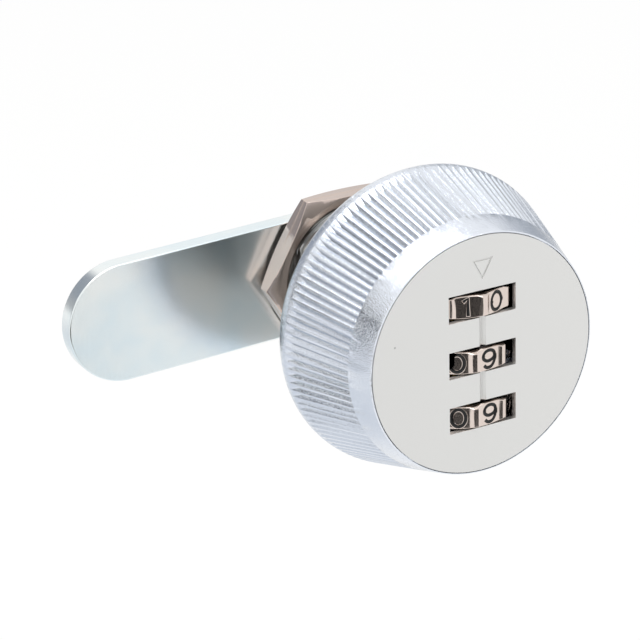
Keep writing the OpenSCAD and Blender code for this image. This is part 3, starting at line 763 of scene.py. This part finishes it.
def turn_corners_off(piece, across_flats, face_share, slope, y0, y1, front=True):
    """Turns the corners of a hexagon off at the rear, and at the front as well where front is true."""
    reach = across_flats / math.sqrt(3) + MM
    face = across_flats / 2 * face_share
    fall = (reach - face) * math.tan(math.radians(slope))
    start = [(face, y0), (reach, y0 + fall)] if front else [(reach, y0 - MM)]
    return cut(piece, lathe("chamfer_tool", start + [(reach, y1 - fall), (face, y1)]), "INTERSECT")


def hex_nut():
    """Flat nut, turned on both sides, bored and countersunk, with a fine seam round the middle of its flats."""
    low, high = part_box("hex_nut")
    middle = (low.y + high.y) / 2
    nut = hexagon("hex_nut_plated", NUT_ACROSS_FLATS, low.y, high.y)
    bpy.ops.object.mode_set(mode="EDIT")
    for offset in (-NUT_SEAM_WIDTH / 2, 0, NUT_SEAM_WIDTH / 2):
        bpy.ops.mesh.select_all(action="SELECT")
        bpy.ops.mesh.bisect(plane_co=(0, middle + offset, 0), plane_no=(0, 1, 0))
        if offset == 0:
            share = 1 + NUT_SEAM_HEIGHT / NUT_ACROSS_FLATS * 2
            bpy.ops.transform.resize(value=(share, 1, share), center_override=(0, middle, 0))
    bpy.ops.object.mode_set(mode="OBJECT")
    turn_corners_off(nut, NUT_ACROSS_FLATS, NUT_FACE_SHARE, 25, low.y, high.y)
    sink = 0.6 * MM
    bore = BARREL_RADIUS + 0.03 * MM
    cut(nut, lathe("bore_tool", [(bore + sink + MM, low.y - MM), (bore, low.y + sink), (bore, high.y - sink),
                                 (bore + sink + MM, high.y + MM)]))
    soften_edges(nut, 0.16 * MM, 3, 34)
    return paint(even_shading(nut), NUT_NICKEL)


def cam_tongue():
    """Stamped tongue with round ends and a square hole, its edges rolled over a little, its tip a bit low."""
    low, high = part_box("cam")
    radius = CAM_WIDTH / 2
    cam = round_bar("cam_tongue", radius, low.y, high.y, 96)
    for vertex in cam.data.vertices:
        if vertex.co.x < -1e-5:
            vertex.co.x -= CAM_REACH - radius
    cut(cam, round_bar("square_tool", SQUARE_WIDTH / math.sqrt(2), low.y - MM, high.y + MM, 4, turn=45))
    soften_edges(cam, 0.22 * MM, 3)
    cam.rotation_euler.y = math.radians(-CAM_LEAN)
    return paint(even_shading(settle(cam)), CAM_ZINC)


def cam_screw():
    """Hex screw that holds the cam, with its shank."""
    low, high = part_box("cam_screw")
    washer_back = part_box("cam_washer")[1].y
    head = hexagon("cam_screw_head", SCREW_ACROSS_FLATS, washer_back, high.y)
    turn_corners_off(head, SCREW_ACROSS_FLATS, HEX_FACE_SHARE, 30, washer_back, high.y, front=False)
    soften_edges(head, 0.1 * MM, 2)
    shank = round_bar("shank", SCREW_RADIUS, low.y, washer_back + MM, 32)
    nothing_selected()
    shank.select_set(True)
    head.select_set(True)
    bpy.context.view_layer.objects.active = head
    bpy.ops.object.join()
    return paint(even_shading(smooth(head)), STEEL)


# Surroundings

def build_world():
    """White all round for the camera; metal sees pale walls with the dim places of a studio."""
    world = bpy.data.worlds.new("soft_white_studio")
    bpy.context.scene.world = world
    world.use_nodes = True
    tree = world.node_tree
    tree.nodes.clear()
    where = add_node(tree, "ShaderNodeTexCoord")
    colour = None
    for azimuth, elevation, core, edge, shade in DIM_PLACES:
        towards = add_node(tree, "ShaderNodeVectorMath",
                           [("operation", "DOT_PRODUCT"), (1, direction(azimuth, elevation))],
                           [(0, where.outputs["Generated"])])
        share = add_node(tree, "ShaderNodeMapRange",
                         [("interpolation_type", "SMOOTHSTEP"),
                          ("From Min", math.cos(math.radians(edge))), ("From Max", math.cos(math.radians(core)))],
                         [("Value", towards.outputs["Value"])])
        mix = add_node(tree, "ShaderNodeMix", [("data_type", "RGBA"), (6, linear(STUDIO_WHITE)), (7, linear(shade))],
                       [(0, share.outputs["Result"])])
        if colour:
            tree.links.new(colour, mix.inputs[6])
        colour = mix.outputs[2]
    rays = add_node(tree, "ShaderNodeLightPath")
    seen = add_node(tree, "ShaderNodeMix", [("data_type", "RGBA"), (7, (1, 1, 1, 1))],
                    [(0, rays.outputs["Is Camera Ray"]), (6, colour)])
    background = add_node(tree, "ShaderNodeBackground", [("Strength", 1.0)], [("Color", seen.outputs[2])])
    output = add_node(tree, "ShaderNodeOutputWorld")
    tree.links.new(background.outputs["Background"], output.inputs["Surface"])


STUDIO_WHITE = "#F6F6F5"
# Dim places of the studio: azimuth, elevation, core and edge in degrees, shade
DIM_PLACES = [
    (132, 8, 10, 25, "#A9AEB5"),
    (-146, 11, 8, 16, "#A2A4A8"),
    (-158, 24, 9, 20, "#9096A0"),
    (-176, 2, 10, 20, "#9298A2"),
    (-140, -38, 12, 34, "#D6DADF"),
    (-119, -5, 6, 16, "#A3A9B2"),
    (-118, 12, 8, 15, "#0C121D"),
    (103, -22, 6, 10, "#1E1F21"),
]
# A narrow dark strip low in front, which the flats of the number wheels that face it mirror
DIM_PLACES += [(azimuth, -22, 5, 10, "#0A0B0C") for azimuth in range(-43, 12, 9)]


def build_floor():
    """Plain pale floor below the lock; the camera sees it white, with the lock's soft shadow."""
    nothing_selected()
    bpy.ops.mesh.primitive_plane_add(size=4, location=(0, 0, cad_box[0].z - FLOOR_DROP))
    floor = settle(named("floor"))
    material, tree, shader = start_finish("pale_floor", "#F2F2F1", 0.9, 0.0)
    rays = add_node(tree, "ShaderNodeLightPath")
    glow = add_node(tree, "ShaderNodeEmission", [("Color", (1, 1, 1, 1)), ("Strength", 1.0)])
    mirror_or_glass = add_node(tree, "ShaderNodeMath", [("operation", "MAXIMUM")],
                               [(0, rays.outputs["Is Glossy Ray"]), (1, rays.outputs["Is Transmission Ray"])])
    seen = add_node(tree, "ShaderNodeMath", [("operation", "MAXIMUM")],
                    [(0, rays.outputs["Is Camera Ray"]), (1, mirror_or_glass.outputs["Value"])])
    share = add_node(tree, "ShaderNodeMath", [("operation", "MULTIPLY"), (1, 0.86)],
                     [(0, seen.outputs["Value"])])
    mix = add_node(tree, "ShaderNodeMixShader", [], [(0, share.outputs["Value"]), (1, shader.outputs["BSDF"]),
                                                     (2, glow.outputs["Emission"])])
    tree.links.new(mix.outputs["Shader"], tree.nodes["Material Output"].inputs["Surface"])
    paint(floor, material)
    floor.visible_glossy = False


def build_light():
    """One large soft box above, for the shadow and the long highlights."""
    lamp = bpy.data.lights.new("soft_box", "AREA")
    lamp.shape = "SQUARE"
    lamp.size = 0.5
    lamp.energy = 2.2
    holder = bpy.data.objects.new("soft_box", lamp)
    holder.location = (-0.1, -0.05, 0.6)
    holder.rotation_euler = (Vector((0, 0, 0)) - holder.location).to_track_quat("-Z", "Y").to_euler()
    bpy.context.scene.collection.objects.link(holder)


def build_camera():
    """Pinhole camera at the angle of view, with its roll."""
    towards = direction(VIEW_AZIMUTH, VIEW_ELEVATION)
    a = math.radians(VIEW_AZIMUTH)
    right = Vector((math.cos(a), math.sin(a), 0))
    up = towards.cross(right)
    c, s = math.cos(math.radians(VIEW_ROLL)), math.sin(math.radians(VIEW_ROLL))
    rolled_right = c * right + s * up
    rolled_up = c * up - s * right
    camera = bpy.data.cameras.new("camera")
    camera.lens = VIEW_LENS
    camera.sensor_width = 36
    camera.clip_start = 0.01
    holder = bpy.data.objects.new("camera", camera)
    turn = Matrix((rolled_right, rolled_up, towards)).transposed().to_4x4()
    holder.matrix_world = Matrix.Translation(VIEW_AIM + VIEW_DISTANCE * towards) @ turn
    bpy.context.scene.collection.objects.link(holder)
    bpy.context.scene.camera = holder


face_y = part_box("face_plate")[0].y
shaft_y = face_y + SHAFT_DEPTH

dress_cad_nodes()
finish_piece(ridged_knob(), "knob", "knob_satin_chrome", "knob_shell")
finish_piece(face_plate(), "knob", "face_polished", "face_plate")
finish_piece(base_casting(), "base", "base_zinc", "base_body")
for i in range(len(ZERO_ANGLE)):
    finish_piece(number_wheel(i), f"dial_{i + 1}", "wheel_nickel", f"dial_wheel_{i + 1}")
finish_piece(hex_nut(), "base", "nut_nickel", "hex_nut")
finish_piece(cam_tongue(), "knob", "cam_zinc", "cam")
finish_piece(cam_screw(), "knob", "inner_steel", "cam_screw")
build_world()
build_floor()
build_light()
build_camera()
bpy.context.scene.view_settings.view_transform = "Standard"
